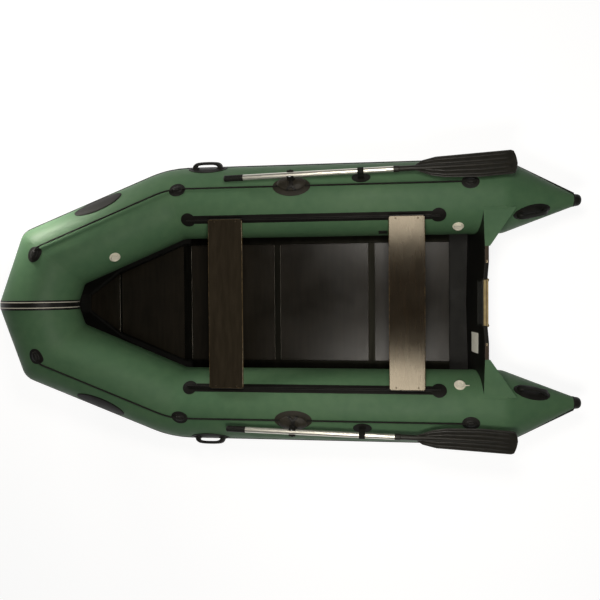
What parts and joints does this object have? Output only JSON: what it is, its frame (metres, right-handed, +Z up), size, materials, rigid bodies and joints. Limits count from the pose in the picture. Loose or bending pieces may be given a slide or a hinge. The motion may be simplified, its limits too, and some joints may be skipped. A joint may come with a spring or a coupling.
{
  "type": "inflatable motor boat",
  "caption": "Inflatable boat with mitred hull tubes, stern cones, raked transom, sectional floor, sliding benches and stowed oars on pin rowlocks.",
  "frame": {"origin": "on the ground, under the middle of the hull", "axes": "+X to the bow, +Y to port, +Z up"},
  "size_m": [3.3, 1.651, 0.6186],
  "materials": {
    "tube_fabric": "satin coated fabric",
    "black_fabric": "matt coated fabric",
    "black_rubber": "matt moulded rubber",
    "floor_panel": "gloss film on plywood",
    "joint_profile": "black anodised",
    "transom_board": "satin paint on plywood",
    "pad_plastic": "satin",
    "clamp_plate": "brushed",
    "bench_board": "satin film on plywood",
    "black_plastic": "satin",
    "oar_tube": "brushed",
    "grab_line": "braided",
    "white_plastic": "gloss",
    "steel": "polished"
  },
  "bodies": {
    "hull": {"aft_handle_port": "black_rubber", "aft_handle_starboard": "black_rubber", "bench_rail_port": "black_fabric", "bench_rail_starboard": "black_fabric", "bottom_skin": "black_fabric", "bow_band": "black_fabric", "bow_tube_port": "tube_fabric", "bow_tube_starboard": "tube_fabric", "bow_valve": "white_plastic", "cone_caps": "black_rubber", "drain_plug": "pad_plastic", "floor_board_1": "floor_panel", "floor_board_2": "floor_panel", "floor_board_3": "floor_panel", "floor_board_4": "floor_panel", "floor_board_5": "floor_panel", "floor_joint_1": "joint_profile", "floor_joint_2": "joint_profile", "floor_joint_3": "joint_profile", "floor_joint_4": "joint_profile", "floor_stringer_port": "joint_profile", "floor_stringer_starboard": "joint_profile", "keel_strip": "black_fabric", "label_plates": "white_plastic", "lifeline_port": "grab_line", "lifeline_rings_port": "black_fabric", "lifeline_rings_starboard": "black_fabric", "lifeline_starboard": "grab_line", "name_patches": "black_fabric", "oar_clip_port": "black_plastic", "oar_clip_starboard": "black_plastic", "rowlock_base_port": "black_plastic", "rowlock_base_starboard": "black_plastic", "rub_strake_port": "black_rubber", "rub_strake_starboard": "black_rubber", "side_handle_port": "black_rubber", "side_handle_starboard": "black_rubber", "side_tube_port": "tube_fabric", "side_tube_starboard": "tube_fabric", "stern_valve_port": "white_plastic", "stern_valve_starboard": "white_plastic", "tow_eye": "steel", "transom": "transom_board", "transom_clamp_plate": "clamp_plate", "transom_gusset_port": "tube_fabric", "transom_gusset_starboard": "tube_fabric", "transom_inner_pad": "pad_plastic"},
    "front_bench": {"front_bench": "bench_board", "front_bench_sliders": "black_plastic"},
    "rear_bench": {"rear_bench": "bench_board", "rear_bench_sliders": "black_plastic"},
    "starboard_oar": {"rowlock_fork_starboard": "black_plastic", "oar_shaft_starboard": "oar_tube", "oar_grip_starboard": "black_rubber", "oar_blade_starboard": "black_plastic"},
    "port_oar": {"rowlock_fork_port": "black_plastic", "oar_shaft_port": "oar_tube", "oar_grip_port": "black_rubber", "oar_blade_port": "black_plastic"}
  },
  "joints": [
    {"name": "front_bench_slide", "type": "slide", "parent": "hull", "child": "front_bench", "axis": [1, 0, 0], "range_m": [-0.4, 0.125]},
    {"name": "rear_bench_slide", "type": "slide", "parent": "hull", "child": "rear_bench", "axis": [1, 0, 0], "range_m": [-0.075, 0.4]},
    {"name": "starboard_oar_swivel", "type": "hinge", "parent": "hull", "child": "starboard_oar", "pos_m": [-0.07, -0.68991, 0.39071], "axis": [0, -0.342, 0.9397], "range_deg": [0, 125]},
    {"name": "port_oar_swivel", "type": "hinge", "parent": "hull", "child": "port_oar", "pos_m": [-0.07, 0.68991, 0.39071], "axis": [0, -0.342, -0.9397], "range_deg": [0, 125]}
  ]
}
